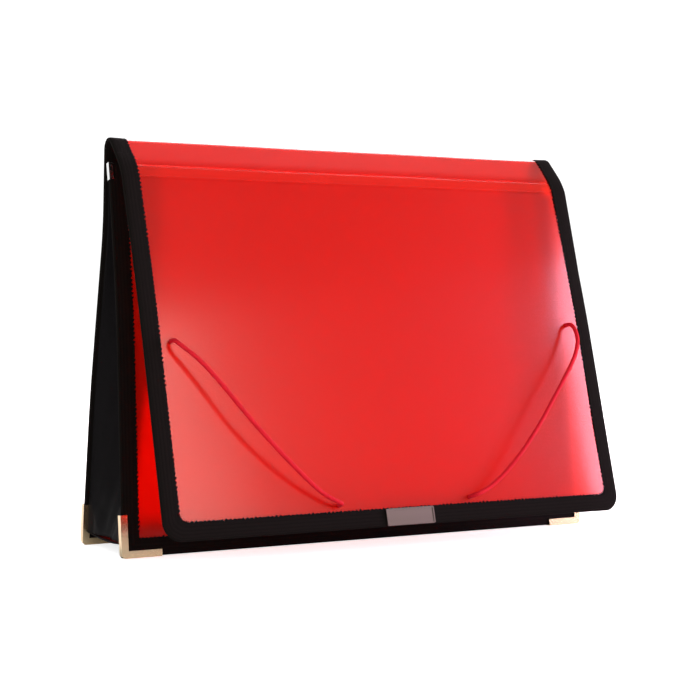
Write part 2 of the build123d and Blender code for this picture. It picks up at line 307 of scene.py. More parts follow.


# %% [markdown]
# Tape and gusset are both black cloth, but they don't look alike. The tape is a coarse matt weave that stays
# dark under every lamp. The gusset is a finer cloth with a coating, which takes a little light on its folds.
# One function makes both, because only the thread count, the roughness and the shine differ. A true black
# would swallow the weave, so the ground is a very dark brown and the crowns of the threads are painted
# lighter, as a painted highlight where light would catch them.

# %% Cloth materials
TAPE_BLACK = (0.0032, 0.0026, 0.0022)
TAPE_CROWN_HIGHLIGHT = (0.0075, 0.0062, 0.0052)
TAPE_THREADS = 1400.0
TAPE_ROUGHNESS = 0.85
TAPE_RELIEF_METRES = 0.00012
TAPE_SHINE = 0.04
CLOTH_BLACK = (0.0030, 0.0028, 0.0030)
CLOTH_CROWN_HIGHLIGHT = (0.0060, 0.0056, 0.0060)
CLOTH_THREADS = 2600.0
CLOTH_ROUGHNESS = 0.6
CLOTH_RELIEF_METRES = 0.00005
CLOTH_SHINE = 0.05
CROWN_SPREAD = 0.06
WEAVE_BUMP = 0.6


def make_cloth(name, first, second, threads, roughness, relief_metres, shine, stitched=False):
    """Woven cloth on the piece's own UV map."""
    material, tree, shader = new_material(name, first, roughness)
    shader.inputs["Specular IOR Level"].default_value = shine
    threads_node = use_group(tree, weave, {"Threads": threads})
    uv = coordinates(tree, "UV")
    tree.links.new(uv, threads_node.inputs["Vector"])
    # The crowns of the threads take the lighter colour: a painted highlight on the tops of the weave.
    blend_colours(tree, threads_node.outputs["Crown"], first, second, shader)
    range_to(tree, threads_node.outputs["Crown"], roughness - CROWN_SPREAD, roughness + CROWN_SPREAD,
             shader.inputs["Roughness"])
    relief = threads_node.outputs["Height"]
    if stitched:
        raised = add_math(tree, "MULTIPLY", stitch_mask(tree, uv), STITCH_RISE)
        relief = add_math(tree, "ADD", relief, raised)
    bump(tree, relief, WEAVE_BUMP, relief_metres, shader)
    return material


tape_material = make_cloth("woven_tape", TAPE_BLACK, TAPE_CROWN_HIGHLIGHT, TAPE_THREADS, TAPE_ROUGHNESS,
                           TAPE_RELIEF_METRES, TAPE_SHINE, stitched=True)
cloth_material = make_cloth("coated_cloth", CLOTH_BLACK, CLOTH_CROWN_HIGHLIGHT, CLOTH_THREADS, CLOTH_ROUGHNESS,
                            CLOTH_RELIEF_METRES, CLOTH_SHINE)
print("cloth materials", tape_material.name, cloth_material.name)

# %% [markdown]
# The guards are thin steel plated in bright gold, the crimps are bright silver, and the label is a blank
# plate of brushed nickel. Plated metal is nearly a mirror, so what makes it look real is uneven roughness:
# the grain spreads the highlights a little, and the cloud mask lets the plating turn warmer in places. For
# the brushed plate the same grain is squeezed along X by a Mapping node, which draws every speck out into a
# fine line. One function makes all three.

# %% Metal materials
GOLD = (1.0, 0.84, 0.55)
GOLD_WARM = (0.94, 0.72, 0.42)
SILVER = (0.86, 0.86, 0.85)
SILVER_DULL = (0.72, 0.72, 0.72)
NICKEL = (0.12, 0.10, 0.088)
NICKEL_DARK = (0.07, 0.057, 0.051)
EVEN = (1, 1, 1)
BRUSHED_ALONG_X = (0.06, 1, 1)
METAL_GRAIN = {"Fine": 900.0, "Broad": 90.0}
POLISHED = 0.05
SCUFFED = 0.12
GOLD_ROUGHNESS = 0.20
SILVER_ROUGHNESS = 0.18
NICKEL_ROUGHNESS = 0.36
METAL_BUMP = 0.04
METAL_BUMP_METRES = 0.00002


def make_metal(name, base, worn, roughness, stretch):
    """Plated metal with fine scratches."""
    material, tree, shader = new_material(name, base, roughness, metallic=1.0)
    mapping = tree.nodes.new("ShaderNodeMapping")
    mapping.inputs["Scale"].default_value = stretch
    tree.links.new(coordinates(tree, "Object"), mapping.inputs["Vector"])
    patterns = use_group(tree, grain, METAL_GRAIN)
    tree.links.new(mapping.outputs["Vector"], patterns.inputs["Vector"])
    blend_colours(tree, patterns.outputs["Cloud"], base, worn, shader)
    range_to(tree, patterns.outputs["Grain"], roughness - POLISHED, roughness + SCUFFED,
             shader.inputs["Roughness"])
    bump(tree, patterns.outputs["Grain"], METAL_BUMP, METAL_BUMP_METRES, shader)
    return material


gold_material = make_metal("gold_plate", GOLD, GOLD_WARM, GOLD_ROUGHNESS, EVEN)
silver_material = make_metal("silver_plate", SILVER, SILVER_DULL, SILVER_ROUGHNESS, EVEN)
label_material = make_metal("brushed_nickel", NICKEL, NICKEL_DARK, NICKEL_ROUGHNESS, BRUSHED_ALONG_X)
print("metal materials", gold_material.name, silver_material.name, label_material.name)

# %% [markdown]
# The elastic is a rubber core in a braided sleeve. A braid is a weave that winds round at a slant, so the
# weave group is used again with its coordinates turned. Modelling the strands would take thousands of faces
# for a cord under three millimetres thick, and at this size only the broken-up highlight shows: it comes
# from the bump, and from the braid's crowns painted lighter and its valleys painted darker, as painted
# highlight and painted shade. The beads that stop the cord's ends are moulded, so they take the sheet's
# finish with no light through.

# %% Cord and bead materials
CORD_RED = (0.50, 0.004, 0.012)
CORD_VALLEY_SHADE = (0.42, 0.003, 0.010)
CORD_CROWN_HIGHLIGHT = (0.60, 0.007, 0.018)
CORD_ROUGHNESS = 0.7
CORD_SHINE = 0.15
CORD_THREADS = 900.0
BRAID_TURN = (0.0, 0.6, 0.8)
BRAID_BUMP = 0.4
BRAID_BUMP_METRES = 0.00015
BEAD_RED = (0.62, 0.006, 0.010)
BEAD_DEEP = (0.55, 0.005, 0.008)


def make_cord():
    """Braided elastic: two crossed runs of strands."""
    material, tree, shader = new_material("braided_elastic", CORD_RED, CORD_ROUGHNESS)
    shader.inputs["Specular IOR Level"].default_value = CORD_SHINE
    braid = use_group(tree, weave, {"Threads": CORD_THREADS})
    mapping = tree.nodes.new("ShaderNodeMapping")
    mapping.inputs["Rotation"].default_value = BRAID_TURN
    tree.links.new(coordinates(tree, "Object"), mapping.inputs["Vector"])
    tree.links.new(mapping.outputs["Vector"], braid.inputs["Vector"])
    # The braid's valleys are painted darker and its crowns lighter: painted shade and a painted highlight.
    blend_colours(tree, braid.outputs["Crown"], CORD_VALLEY_SHADE, CORD_CROWN_HIGHLIGHT, shader)
    bump(tree, braid.outputs["Height"], BRAID_BUMP, BRAID_BUMP_METRES, shader)
    return material


cord_material = make_cord()
bead_material = make_sheet("moulded_bead", BEAD_RED, BEAD_DEEP, 0.0)
print("cord materials", cord_material.name, bead_material.name)

# %% [markdown]
# The elastic leaves the flap at an upper hole, stands clear of it in a loose arc and goes back in at a lower
# hole, once on each side. A cord has one length, however it hangs, so its route is settled first: a dozen
# points listed along the arc, straight out of the sheet at both ends. A curve object with a round bevel is
# the natural way to make it, because the points stay few and the tube stays even. Of the spline types, a
# NURBS of order 3 runs smoothly past the points without the kinks of a polyline, and its end points stay
# exactly in the holes. The lengths are in metres, as the frame asks for them.

# %% Elastic arcs
CORD_RADIUS = 1.4 * MM
CORD_SIDES = 4
CORD_STEPS = 12
CORD_ORDER = 3
ARC_ROUTES = {
    "elastic_left": [(-149.5, -30.82, 133.2), (-149.5, -35.83, 134.6), (-147.7, -40.7, 131.5),
                     (-139.5, -45.7, 124.6), (-127.5, -52.2, 110.2), (-110.8, -60.1, 87.1),
                     (-90.4, -64.8, 64.1), (-73.8, -65.5, 48.1), (-62.8, -64.3, 39.2),
                     (-53.2, -66.0, 34.2), (-49.5, -64.34, 32.6), (-49.5, -59.33, 31.2)],
    "elastic_right": [(146.0, -28.58, 141.2), (146.0, -33.59, 142.6), (146.6, -38.6, 137.8),
                      (143.9, -45.2, 130.0), (136.3, -50.6, 118.0), (118.2, -57.1, 97.7),
                      (93.4, -63.6, 68.4), (71.6, -65.4, 46.5), (58.2, -64.5, 36.7),
                      (50.4, -66.0, 34.0), (46.6, -64.34, 32.6), (46.6, -59.33, 31.2)],
}

for node, route in ARC_ROUTES.items():
    data = bpy.data.curves.new(node + "_cord", "CURVE")
    data.dimensions = "3D"
    data.bevel_depth = CORD_RADIUS
    data.bevel_resolution = CORD_SIDES
    data.resolution_u = CORD_STEPS
    data.use_fill_caps = True
    spline = data.splines.new("NURBS")
    spline.points.add(len(route) - 1)
    for point, place in zip(spline.points, route):
        point.co = (*(Vector(place) * MM), 1)
    spline.order_u = CORD_ORDER
    spline.use_endpoint_u = True
    arc = bpy.data.objects.new(node + "_cord", data)
    bpy.context.scene.collection.objects.link(arc)
    arc.data.materials.append(cord_material)
    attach(arc, "flap")
    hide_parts(node)
    print(arc.name, "through", len(route), "points,", round(spline.calc_length(), 4), "m long")

# %% [markdown]
# Seen from the side, the whole bag is two lines. One runs up the bowed back, over the fold, down through
# the two creases and along the hanging flap. The other is the front panel. Every sheet and every tape lies
# on one of them, so the lines are worth making well, and then nothing can drift apart.
#
# A line is a few corners with a bend radius at each, which is how such a bag is drawn on paper. The class
# turns each bend into a short arc and can then answer two questions: what place lies so far along the line,
# lifted so far off it, and what distance along the line is nearest to a place. A spline would be shorter to
# write, but its bends would have no set radius.

# %% Side-view line
BEND_PIECES = 14


class SideLine:
    """Line in side view, measured along its length, with a side that faces out."""

    def __init__(self, corners, bends, outward):
        self.outward = outward
        points = [Vector(corners[0])]
        for before, here, after, bend in zip(corners, corners[1:], corners[2:], bends):
            points += self.bend(Vector(before), Vector(here), Vector(after), bend)
        points.append(Vector(corners[-1]))
        self.points = points
        self.marks = [0.0]
        for low, high in zip(points, points[1:]):
            self.marks.append(self.marks[-1] + (high - low).length)
        self.length = self.marks[-1]

    @staticmethod
    def bend(before, here, after, radius):
        """Points on the arc that rounds a corner."""
        way_in = (here - before).normalized()
        way_out = (after - here).normalized()
        turn = way_in.angle_signed(way_out)
        start = here - way_in * radius * math.tan(abs(turn) / 2)
        inner = Vector((-way_in.y, way_in.x)) * (-1 if turn > 0 else 1)
        centre = start + inner * radius
        spoke = start - centre
        return [centre + Matrix.Rotation(-turn * piece / BEND_PIECES, 2) @ spoke
                for piece in range(BEND_PIECES + 1)]

    def at(self, along, lift):
        """Y and Z at a distance along the line, lifted off it on the outward side."""
        along = min(max(along, 0.0), self.length)
        index = 1
        while index < len(self.marks) - 1 and self.marks[index] < along:
            index += 1
        low = self.points[index - 1]
        high = self.points[index]
        share = (along - self.marks[index - 1]) / (self.marks[index] - self.marks[index - 1])
        way = (high - low).normalized()
        return low + (high - low) * share + Vector((way.y, -way.x)) * self.outward * lift

    def nearest(self, y, z):
        """Distance along the line of its point nearest to a place."""
        place = Vector((y, z))
        best = min(range(len(self.points)), key=lambda i: (self.points[i] - place).length)
        return self.marks[best]


# %% [markdown]
# Here are the two lines of this bag, as (Y, Z) corners. The bag narrows a little towards the top, so its
# half width is a straight blend between the foot and the top. The creases are found back on the rounded
# line, and everything that has to meet there later is measured from them. The tape of the back ends 10 mm
# before the first crease, where the tape of the flap takes over.

# %% The bag's own lines
TOP = 252.0
HALF_FOOT = 172.4
HALF_TOP = 167.5
FIRST_CREASE = (6.6, 241.5)
SECOND_CREASE = (3.0, 234.4)
SEAM_BEFORE_CREASE = 10.0
WHOLE_CORNERS = [(62.8, 0.55), (52.6, 95.0), (33.2, 203.0), (32.8, 267.9), FIRST_CREASE, SECOND_CREASE,
                 (-22.5, 160.0), (-62.7, 16.2)]
WHOLE_BENDS = [600, 190, 6.5, 45, 12, 1200]
FRONT_CORNERS = [(-7.3, 0.55), (8.0, 152.0), (26.0, 244.0)]
FRONT_BENDS = [600]


def half_width(z):
    """Half width of the body at height z."""
    return HALF_FOOT + (HALF_TOP - HALF_FOOT) * min(z, TOP) / TOP


whole = SideLine(WHOLE_CORNERS, WHOLE_BENDS, 1)
front = SideLine(FRONT_CORNERS, FRONT_BENDS, -1)
crease_1 = whole.nearest(*FIRST_CREASE)
crease_2 = whole.nearest(*SECOND_CREASE)
tape_seam = crease_1 - SEAM_BEFORE_CREASE
print("whole line", round(whole.length, 1), "mm, creases at", round(crease_1, 1), round(crease_2, 1))
print("front line", round(front.length, 1), "mm")

# %% [markdown]
# A sheet, a tape and a gusset all start as the same thing: a flat grid made by one bmesh operator. A
# function of two shares, u across and v along, then says where each of its points goes. Extruding a profile
# would be quicker to write, but it couldn't follow a rounded corner or fold a gusset.
#
# The UV map is written before the points move, in the real width and length of the material, so a weave
# keeps its scale and runs true round every corner. A closed loop, such as the section of a tape, has its
# doubled row merged, its ends filled and its normals recalculated, so it is a watertight skin.


# %% Laying a grid on a surface
def lay_grid(name, columns, rows, size, place, material, closed=False):
    """Grid of columns by rows whose points go where place(u, v) says, in millimetres."""
    mesh = bmesh.new()
    bmesh.ops.create_grid(mesh, x_segments=columns, y_segments=rows, size=0.5)
    uv = mesh.loops.layers.uv.new("UVMap")
    for face in mesh.faces:
        for loop in face.loops:
            loop[uv].uv = ((loop.vert.co.x + 0.5) * size[0] * MM, (loop.vert.co.y + 0.5) * size[1] * MM)
        face.smooth = True
    for vertex in mesh.verts:
        vertex.co = Vector(place(vertex.co.x + 0.5, vertex.co.y + 0.5)) * MM
    if closed:
        bmesh.ops.remove_doubles(mesh, verts=mesh.verts, dist=0.01 * MM)
        ends = [edge for edge in mesh.edges if edge.is_boundary]
        bmesh.ops.holes_fill(mesh, edges=ends, sides=0)
        bmesh.ops.recalc_face_normals(mesh, faces=mesh.faces)
    data = bpy.data.meshes.new(name)
    mesh.to_mesh(data)
    mesh.free()
    piece = bpy.data.objects.new(name, data)
    bpy.context.scene.collection.objects.link(piece)
    data.materials.append(material)
    print(name, len(data.polygons), "faces")
    return piece


# %% [markdown]
# A laid sheet has no thickness yet. The Solidify modifier gives it one, half to each side, and it stays
# live, so the thickness is one number and the mesh below stays light. Before that, the normals have to face
# the outside of the bag, because the modifier takes the inner face's material from the side they point away
# from. Adding up all the normals tells which way a sheet faces as a whole.


# %% Facing out and thickness
def turn_out(piece, outward):
    """Makes a laid grid's normals face the outside of the bag."""
    facing = sum((face.normal * face.area for face in piece.data.polygons), Vector())
    if facing.dot(Vector(outward)) < 0:
        piece.data.flip_normals()


def thicken(piece, thickness):
    """Gives a laid sheet its thickness, half to each side."""
    solid = piece.modifiers.new("thickness", "SOLIDIFY")
    solid.thickness = thickness * MM
    solid.offset = 0
    return piece


# %% [markdown]
# Flat plastic sheet is never truly flat. It carries a slow ripple of less than half a millimetre, which
# bends every reflection a little. The two creases are pressed in with a hot bar that stops short of the
# tapes. And the flap's free right edge curls back by a few millimetres, which is why a pale band lies along
# it: the curled part mirrors a lamp that the rest of the flap doesn't see. Each is a small function of
# where a point lies, so they add up, and the tape can follow the same curl. Bump could fake the ripple, but
# it can't bend an outline.

# %% Unevenness of the sheets
RIPPLE = 0.45
RIPPLE_ACROSS = 95.0
RIPPLE_ALONG = 60.0
RIPPLE_LAYER = 3.7
CREASE_DEPTH = 0.15
CREASE_SPREAD = 0.7
CREASE_END_GAP = 9.0
CREASE_FADE = 4.0
CURL = 3.0
CURL_WIDTH = 44.0
CURL_FADE = 60.0


def ripple(x, along):
    """Slow unevenness of a hanging sheet."""
    return RIPPLE * noise.noise(Vector((x / RIPPLE_ACROSS, along / RIPPLE_ALONG, RIPPLE_LAYER)))


def crease_dip(x, along):
    """How far the sheet is pressed in at its two creases, between the tapes."""
    clear = min(1.0, max(0.0, (HALF_TOP - abs(x) - CREASE_END_GAP) / CREASE_FADE))
    return clear * sum(CREASE_DEPTH * math.exp(-((along - mark) / CREASE_SPREAD) ** 2)
                       for mark in (crease_1, crease_2))


def curl(x, along):
    """How far the flap curls back towards its right edge."""
    near = max(0.0, (x - HALF_TOP + CURL_WIDTH) / CURL_WIDTH)
    fade = min(1.0, max(0.0, (along - crease_2) / CURL_FADE))
    return CURL * near ** 3 * fade


# %% [markdown]
# The real back, spine and flap are one sheet. Here it is cut at the first crease, because the flap turns
# there: the back sheet bends over the fold, and the flap sheet rides on the flap as it is. A gap of 0.44 mm
# at the crease keeps their thick edges from touching when the flap is pressed in. Its price is a thin pale
# line across the sheet when the flap is thrown back.
#
# Each function below says where a point of one sheet lies. All of them stop a millimetre inside the cut
# edge, where the tape wraps round. The flap's lower corners are rounded by drawing the rows in along a
# quarter circle, which keeps the grid whole, where cutting the corners off would leave ragged triangles.

# %% Where the sheets lie
TAPE_WRAP = 1.0
FLAP_CORNER = 12.0
SEAM_GAP = 0.22
BACK_FADE = 40
FRONT_RIPPLE_SHIFT = 500


def back_place(u, v):
    """Back sheet: from the foot, up and over the fold, to the first crease."""
    along = TAPE_WRAP + v * (crease_1 - SEAM_GAP - TAPE_WRAP)
    z = whole.at(along, 0)[1]
    x = (2 * u - 1) * (half_width(z) - TAPE_WRAP)
    y, z = whole.at(along, ripple(x, along) * min(1, along / BACK_FADE) - crease_dip(x, along))
    return x, y, z


def flap_place(u, v):
    """Flap sheet: from the first crease to its rounded foot."""
    end = whole.length - TAPE_WRAP
    bend = FLAP_CORNER - TAPE_WRAP
    along = crease_1 + SEAM_GAP + v * (end - crease_1 - SEAM_GAP)
    into = max(0.0, along - (end - bend))
    draw_in = bend - math.sqrt(max(0.0, bend ** 2 - into ** 2))
    x = (2 * u - 1) * (HALF_TOP - TAPE_WRAP - draw_in)
    y, z = whole.at(along, ripple(x, along) - crease_dip(x, along) - curl(x, along))
    return x, y, z


def front_place(u, v):
    """Front sheet, from foot to top edge."""
    along = TAPE_WRAP + v * (front.length - TAPE_WRAP)
    z = front.at(along, 0)[1]
    x = (2 * u - 1) * (half_width(z) - TAPE_WRAP)
    y, z = front.at(along, ripple(x + FRONT_RIPPLE_SHIFT, along))
    return x, y, z


# %% [markdown]
# Now the three sheets are laid. The rows along the bend are close together, about 0.6 mm apart, so the fold
# and the creases come out round, and the columns can be far apart because nothing bends across. Each sheet
# has its outer material first and its inner material after it, and Solidify's material offset picks the
# next one for the inner face. On the flap the strip between the creases has a pair of its own.

# %% Lay the sheets
SHEET_THICKNESS = 1.0
BACK_GRID = (48, 420)
FLAP_GRID = (64, 440)
FRONT_GRID = (48, 120)
STRIP_SLOT = 2

back_sheet = lay_grid("back_sheet", *BACK_GRID, (2 * HALF_FOOT, crease_1), back_place, sheet_material)
flap_sheet = lay_grid("flap_sheet", *FLAP_GRID, (2 * HALF_TOP, whole.length - crease_1), flap_place,
                      sheet_material)
front_sheet = lay_grid("front_sheet", *FRONT_GRID, (2 * HALF_FOOT, front.length), front_place,
                       sheet_material)
for sheet in (back_sheet, flap_sheet, front_sheet):
    sheet.data.materials.append(inner_material)
flap_sheet.data.materials.append(strip_highlight_material)
flap_sheet.data.materials.append(inner_material)
strip_low = whole.at(crease_2, 0)[1] * MM
strip_high = whole.at(crease_1, 0)[1] * MM
for face in flap_sheet.data.polygons:
    if strip_low < face.center.z < strip_high:
        face.material_index = STRIP_SLOT
for sheet, outward in ((back_sheet, (0, 1, 0)), (flap_sheet, (0, -1, 0)), (front_sheet, (0, -1, 0))):
    turn_out(sheet, outward)
    thicken(sheet, SHEET_THICKNESS)
    sheet.modifiers["thickness"].material_offset = 1
print("pressed strip from", round(strip_low, 4), "to", round(strip_high, 4), "m up")

# %% [markdown]
# The binding is a woven tape, folded over the cut edge and sewn through both faces. Its section is one
# closed loop: out along the outer face, round the edge, back along the inner face, and in again close to
# the sheet. The loop swells slightly and dips at the seam line, as tape does where the thread pulls it
# down. Each point is (distance in from the edge, lift off the sheet's middle).
#
# The inner edge is a selvedge, where the weft threads turn back, so it looks like small uneven teeth. They
# are made by moving only the points of that edge in and out, with a zigzag whose height wanders with noise.

# %% Section of the tape
TAPE = 11.5
TOOTH_PITCH = 2.9
TOOTH = 1.5
TOOTH_MEAN = 0.65
TOOTH_WANDER = 1.1
WANDER_LENGTH = 3.3
COLUMN = 0.5
TAPE_SECTION = [(TAPE, 0.52), (TAPE, 0.92), (10.6, 1.08), (9.8, 0.98), (9.0, 1.12), (5.0, 1.22), (1.4, 1.30),
                (0.35, 1.02), (0.0, 0.0), (0.35, -1.02), (1.4, -1.30), (5.0, -1.22), (9.0, -1.12),
                (9.8, -0.98), (10.6, -1.08), (TAPE, -0.92), (TAPE, -0.52), (1.3, -0.52), (1.3, 0.52),
                (TAPE, 0.52)]


def tooth(travelled, half):
    """How far the selvedge reaches in beyond the tape's width, at a distance along the tape."""
    rough = TOOTH_MEAN + TOOTH_WANDER * noise.noise(Vector((travelled / WANDER_LENGTH, half, 1.0)))
    return TOOTH * rough * (abs(2 * (travelled / TOOTH_PITCH % 1) - 1) - 0.5)


# %% [markdown]
# The tape runs down one side of a sheet, along the foot and up the other side. A curve with the section as
# its bevel would twist where the sheet bends, so the path is worked out flat: a U with rounded corners. The
# outer edge of the tape takes the larger radius and the inner edge the smaller, so the width is blended
# between the two as a point lies further in. The result is a place on the flat sheet, and the sheet's own
# surface function then lifts it into space.


# %% Path of the tape
def tape_outline(share, inset, half, side, outer_bend, inner_bend):
    """Point on a U-shaped outline: down the left side, along the foot, up the right side."""
    bend = outer_bend + (inner_bend - outer_bend) * inset / TAPE
    quarter = math.pi / 2
    runs = [side - outer_bend, quarter * outer_bend, 2 * (half - outer_bend), quarter * outer_bend,
            side - outer_bend]
    left = share * sum(runs)
    run = 0
    while run < 4 and left > runs[run]:
        left -= runs[run]
        run += 1
    part = left / runs[run]
    x = half - inset
    if run == 0:
        return -x, side - part * (side - inset - bend)
    if run == 1:
        angle = part * quarter
        return -x + bend - bend * math.cos(angle), inset + bend - bend * math.sin(angle)
    if run == 2:
        return (2 * part - 1) * (x - bend), inset
    if run == 3:
        angle = (1 - part) * quarter
        return x - bend + bend * math.cos(angle), inset + bend - bend * math.sin(angle)
    return x, inset + bend + part * (side - inset - bend)


def make_tape(name, half, side, outer_bend, inner_bend, surface):
    """Tape round three sides of a sheet. surface(x, from_foot, lift) gives the place."""
    length = 2 * side + 2 * half
    columns = int(length / COLUMN)
    steps = len(TAPE_SECTION) - 1

    def place(u, v):
        inset, lift = TAPE_SECTION[round(v * steps)]
        if inset == TAPE:
            inset += tooth(u * length, half)
        x, from_foot = tape_outline(u, inset, half, side, outer_bend, inner_bend)
        return surface(x, from_foot, lift)

    return lay_grid(name, columns, steps, (length, 2 * TAPE), place, tape_material, closed=True)


# %% [markdown]
# Three tapes are needed: one on the back that follows the fold over the top, one on the flap that starts
# under the first one's end and takes in both creases, and one on the front panel. The back and the front
# have sharp feet, where the metal guards sit, and the flap has round ones. Each surface function says how
# its sheet lies in space, and the flap's also follows the curl, so tape and sheet stay together.

# %% Lay the tapes
FOOT_OUTER_BEND = 2.5
FOOT_INNER_BEND = 1.0
FLAP_INNER_BEND = 5.0


def back_surface(x, from_foot, lift):
    """Place on the back's side of the whole sheet."""
    y, z = whole.at(from_foot, lift)
    return x * half_width(z) / HALF_FOOT, y, z


def flap_surface(x, from_foot, lift):
    """Place on the flap."""
    along = whole.length - from_foot
    y, z = whole.at(along, lift - curl(x, along))
    return x, y, z


def front_surface(x, from_foot, lift):
    """Place on the front panel."""
    y, z = front.at(from_foot, lift)
    return x * half_width(z) / HALF_FOOT, y, z


back_tape = make_tape("back_tape", HALF_FOOT, tape_seam, FOOT_OUTER_BEND, FOOT_INNER_BEND, back_surface)
flap_tape = make_tape("flap_tape", HALF_TOP, whole.length - tape_seam, FLAP_CORNER, FLAP_INNER_BEND,
                      flap_surface)
front_tape = make_tape("front_tape", HALF_FOOT, front.length, FOOT_OUTER_BEND, FOOT_INNER_BEND,
                       front_surface)

# %% [markdown]
# The side gussets let the bag open at the foot and go flat again. Each is a strip of cloth with one inward
# fold, sewn to the back and to the front. The cloth has a fixed width, two equal arms, so the depth of its
# fold follows from how far apart the panels are: that is the third side of a triangle. Near the top the
# panels come together and the fold lies deep in the bag, and near the foot it is shallow.
#
# To know the gap between the panels at a height, a panel's line is searched by halving, which needs only
# that the line keeps rising.

# %% Measure of the gussets
GUSSET_ARM = 34.5
GUSSET_EDGE = 2.4
GUSSET_LOW = 8.6
GUSSET_HIGH = 243.0
PANEL_CLEAR = 1.45
SEARCH_TOP = 251.0
HALVINGS = 18
MITRE_HEIGHT = 46.0
MITRE_SHALLOW = 0.25
LEAST_DEPTH_SQUARED = 4.0


def panel_y(line, z, inward):
    """Y of a panel's inner face at height z."""
    low = 0.0
    high = min(line.length, SEARCH_TOP)
    for _ in range(HALVINGS):
        middle = (low + high) / 2
        if line.at(middle, 0)[1] < z:
            low = middle
        else:
            high = middle
    return line.at(low, -inward)[0]


def gusset_edges(z):
    """Front and rear Y of the gusset's sewn edges, and the depth of its fold."""
    near = panel_y(front, z, PANEL_CLEAR)
    far = panel_y(whole, z, PANEL_CLEAR)
    depth = math.sqrt(max(LEAST_DEPTH_SQUARED, GUSSET_ARM ** 2 - ((far - near) / 2) ** 2))
    if z < MITRE_HEIGHT:
        share = (z - GUSSET_LOW) / (MITRE_HEIGHT - GUSSET_LOW)
        depth *= MITRE_SHALLOW + (1 - MITRE_SHALLOW) * share
    return near, far, depth


for height in (GUSSET_LOW, MITRE_HEIGHT, GUSSET_HIGH):
    near, far, depth = gusset_edges(height)
    print("gusset at", height, "mm:", round(far - near, 1), "wide,", round(depth, 1), "deep")

# %% [markdown]
# Now the cloth itself. Across its width the fold is a rounded V. At the foot the gusset has to turn under
# the bag, and it does so with a mitre: a slanting facet on each side of the fold, as on a paper bag. On top
# of that the cloth is crumpled with two sizes of noise. The crumple fades out at the sewn edges and where
# the panels leave little room, so the cloth never pokes through a tape. A cloth simulation could wrinkle it
# as well, but a gusset that has to fold flat needs wrinkles of a known size.
#
# The floor is a plain piece of the same cloth between the two feet, a little slack, so it sags.

# %% Gussets
CLOTH_THICKNESS = 0.6
FOLD_ROUNDING = 0.0012
MITRE_LEAD = 14
LEAST_RUN = 4.0
# Each crumple has a weight, folds across the cloth, the height of a fold and its layer of the noise
CRUMPLES = ((1.0, 5, 34.0, 2.0), (0.5, 11, 13.0, 8.0))
CRUMPLE_IN = 0.9
CRUMPLE_SIDEWAYS = 0.3
STITCHED_DOWN = 8
ROOM_FOR_CRUMPLE = 30
SIDE_SET_BACK = 0.4
SIDE_GRID = (60, 150)
FLOOR_GRID = (120, 30)
FLOOR_SAG = 1.5
FLOOR_CRUMPLE = 0.5
FLOOR_CRUMPLE_ACROSS = 30
FLOOR_CRUMPLE_ALONG = 20
FLOOR_CRUMPLE_LAYER = 5.0
FLOOR_END_GAP = 0.6
FLOOR_DROP = 0.4
FLOOR_LAID_WIDTH = 64


def crumple_at(u, z, sign):
    """Unevenness of a side cloth, of both sizes together."""
    return sum(weight * noise.noise(Vector((u * across, z / tall, layer + sign)))
               for weight, across, tall, layer in CRUMPLES)


def make_gusset(name, sign):
    """One side gusset. The sign is -1 on the left and 1 on the right."""
    def place(u, v):
        z = GUSSET_LOW + v * (GUSSET_HIGH - GUSSET_LOW)
        near, far, depth = gusset_edges(z)
        fold = 1 - math.sqrt((2 * u - 1) ** 2 + FOLD_ROUNDING)
        inner = 0.5 - abs(u - 0.5)
        if z < MITRE_HEIGHT:
            slant = abs(2 * u - 1) * (MITRE_HEIGHT - GUSSET_LOW)
            facet = max(0.0, 1 - slant / max(LEAST_RUN, z - GUSSET_LOW + MITRE_LEAD))
            fold = min(fold, facet + MITRE_SHALLOW * fold)
        crumple = crumple_at(u, z, sign)
        room = min(1.0, inner * STITCHED_DOWN) * min(1.0, (far - near) / ROOM_FOR_CRUMPLE)
        x = half_width(z) - GUSSET_EDGE - depth * fold - CRUMPLE_IN * crumple * room - SIDE_SET_BACK
        y = near + (far - near) * u + CRUMPLE_SIDEWAYS * crumple * room
        return sign * x, y, z

    return lay_grid(name, *SIDE_GRID, (2 * GUSSET_ARM, GUSSET_HIGH - GUSSET_LOW), place, cloth_material)


def floor_place(u, v):
    """Cloth floor, slack between the two feet."""
    x = (2 * u - 1) * (HALF_FOOT - GUSSET_EDGE - FLOOR_END_GAP)
    near, far, _ = gusset_edges(GUSSET_LOW)
    y = near + (far - near) * v
    spot = Vector((x / FLOOR_CRUMPLE_ACROSS, y / FLOOR_CRUMPLE_ALONG, FLOOR_CRUMPLE_LAYER))
    sag = FLOOR_SAG * math.sin(math.pi * v) + FLOOR_CRUMPLE * noise.noise(spot)
    return x, y, GUSSET_LOW - FLOOR_DROP - sag


gussets = {
    "gusset_left": make_gusset("side_cloth_left", -1),
    "gusset_right": make_gusset("side_cloth_right", 1),
    "gusset_floor": lay_grid("floor_cloth", *FLOOR_GRID, (2 * HALF_FOOT, FLOOR_LAID_WIDTH), floor_place,
                             cloth_material),
}
for cloth in gussets.values():
    thicken(cloth, CLOTH_THICKNESS)

# %% [markdown]
# A piece that is made but not tied to a body would stay behind when the bag moves. Stiff pieces ride on one
# body. The pieces that bend, which are the back sheet and its tape over the fold, the flap's tape at the
# crease and the gussets between both panels, are tied to no body here: their places are baked into their
# meshes, and they stay where they are laid.
#
# Each piece also hides the solids it stands for. A size laid flat is worked out for each cloth, but nothing
# uses it.

# %% Riding and replacing
SIDE_CUT = (2 * GUSSET_ARM * MM, (GUSSET_HIGH - GUSSET_LOW) * MM)
FLOOR_CUT = (2 * (HALF_FOOT - GUSSET_EDGE) * MM, 0.067)


def settle(piece, body, nodes):
    """Puts a piece on its body, if it has only one, in place of its solids."""
    if body:
        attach(piece, body)
    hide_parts(*nodes)


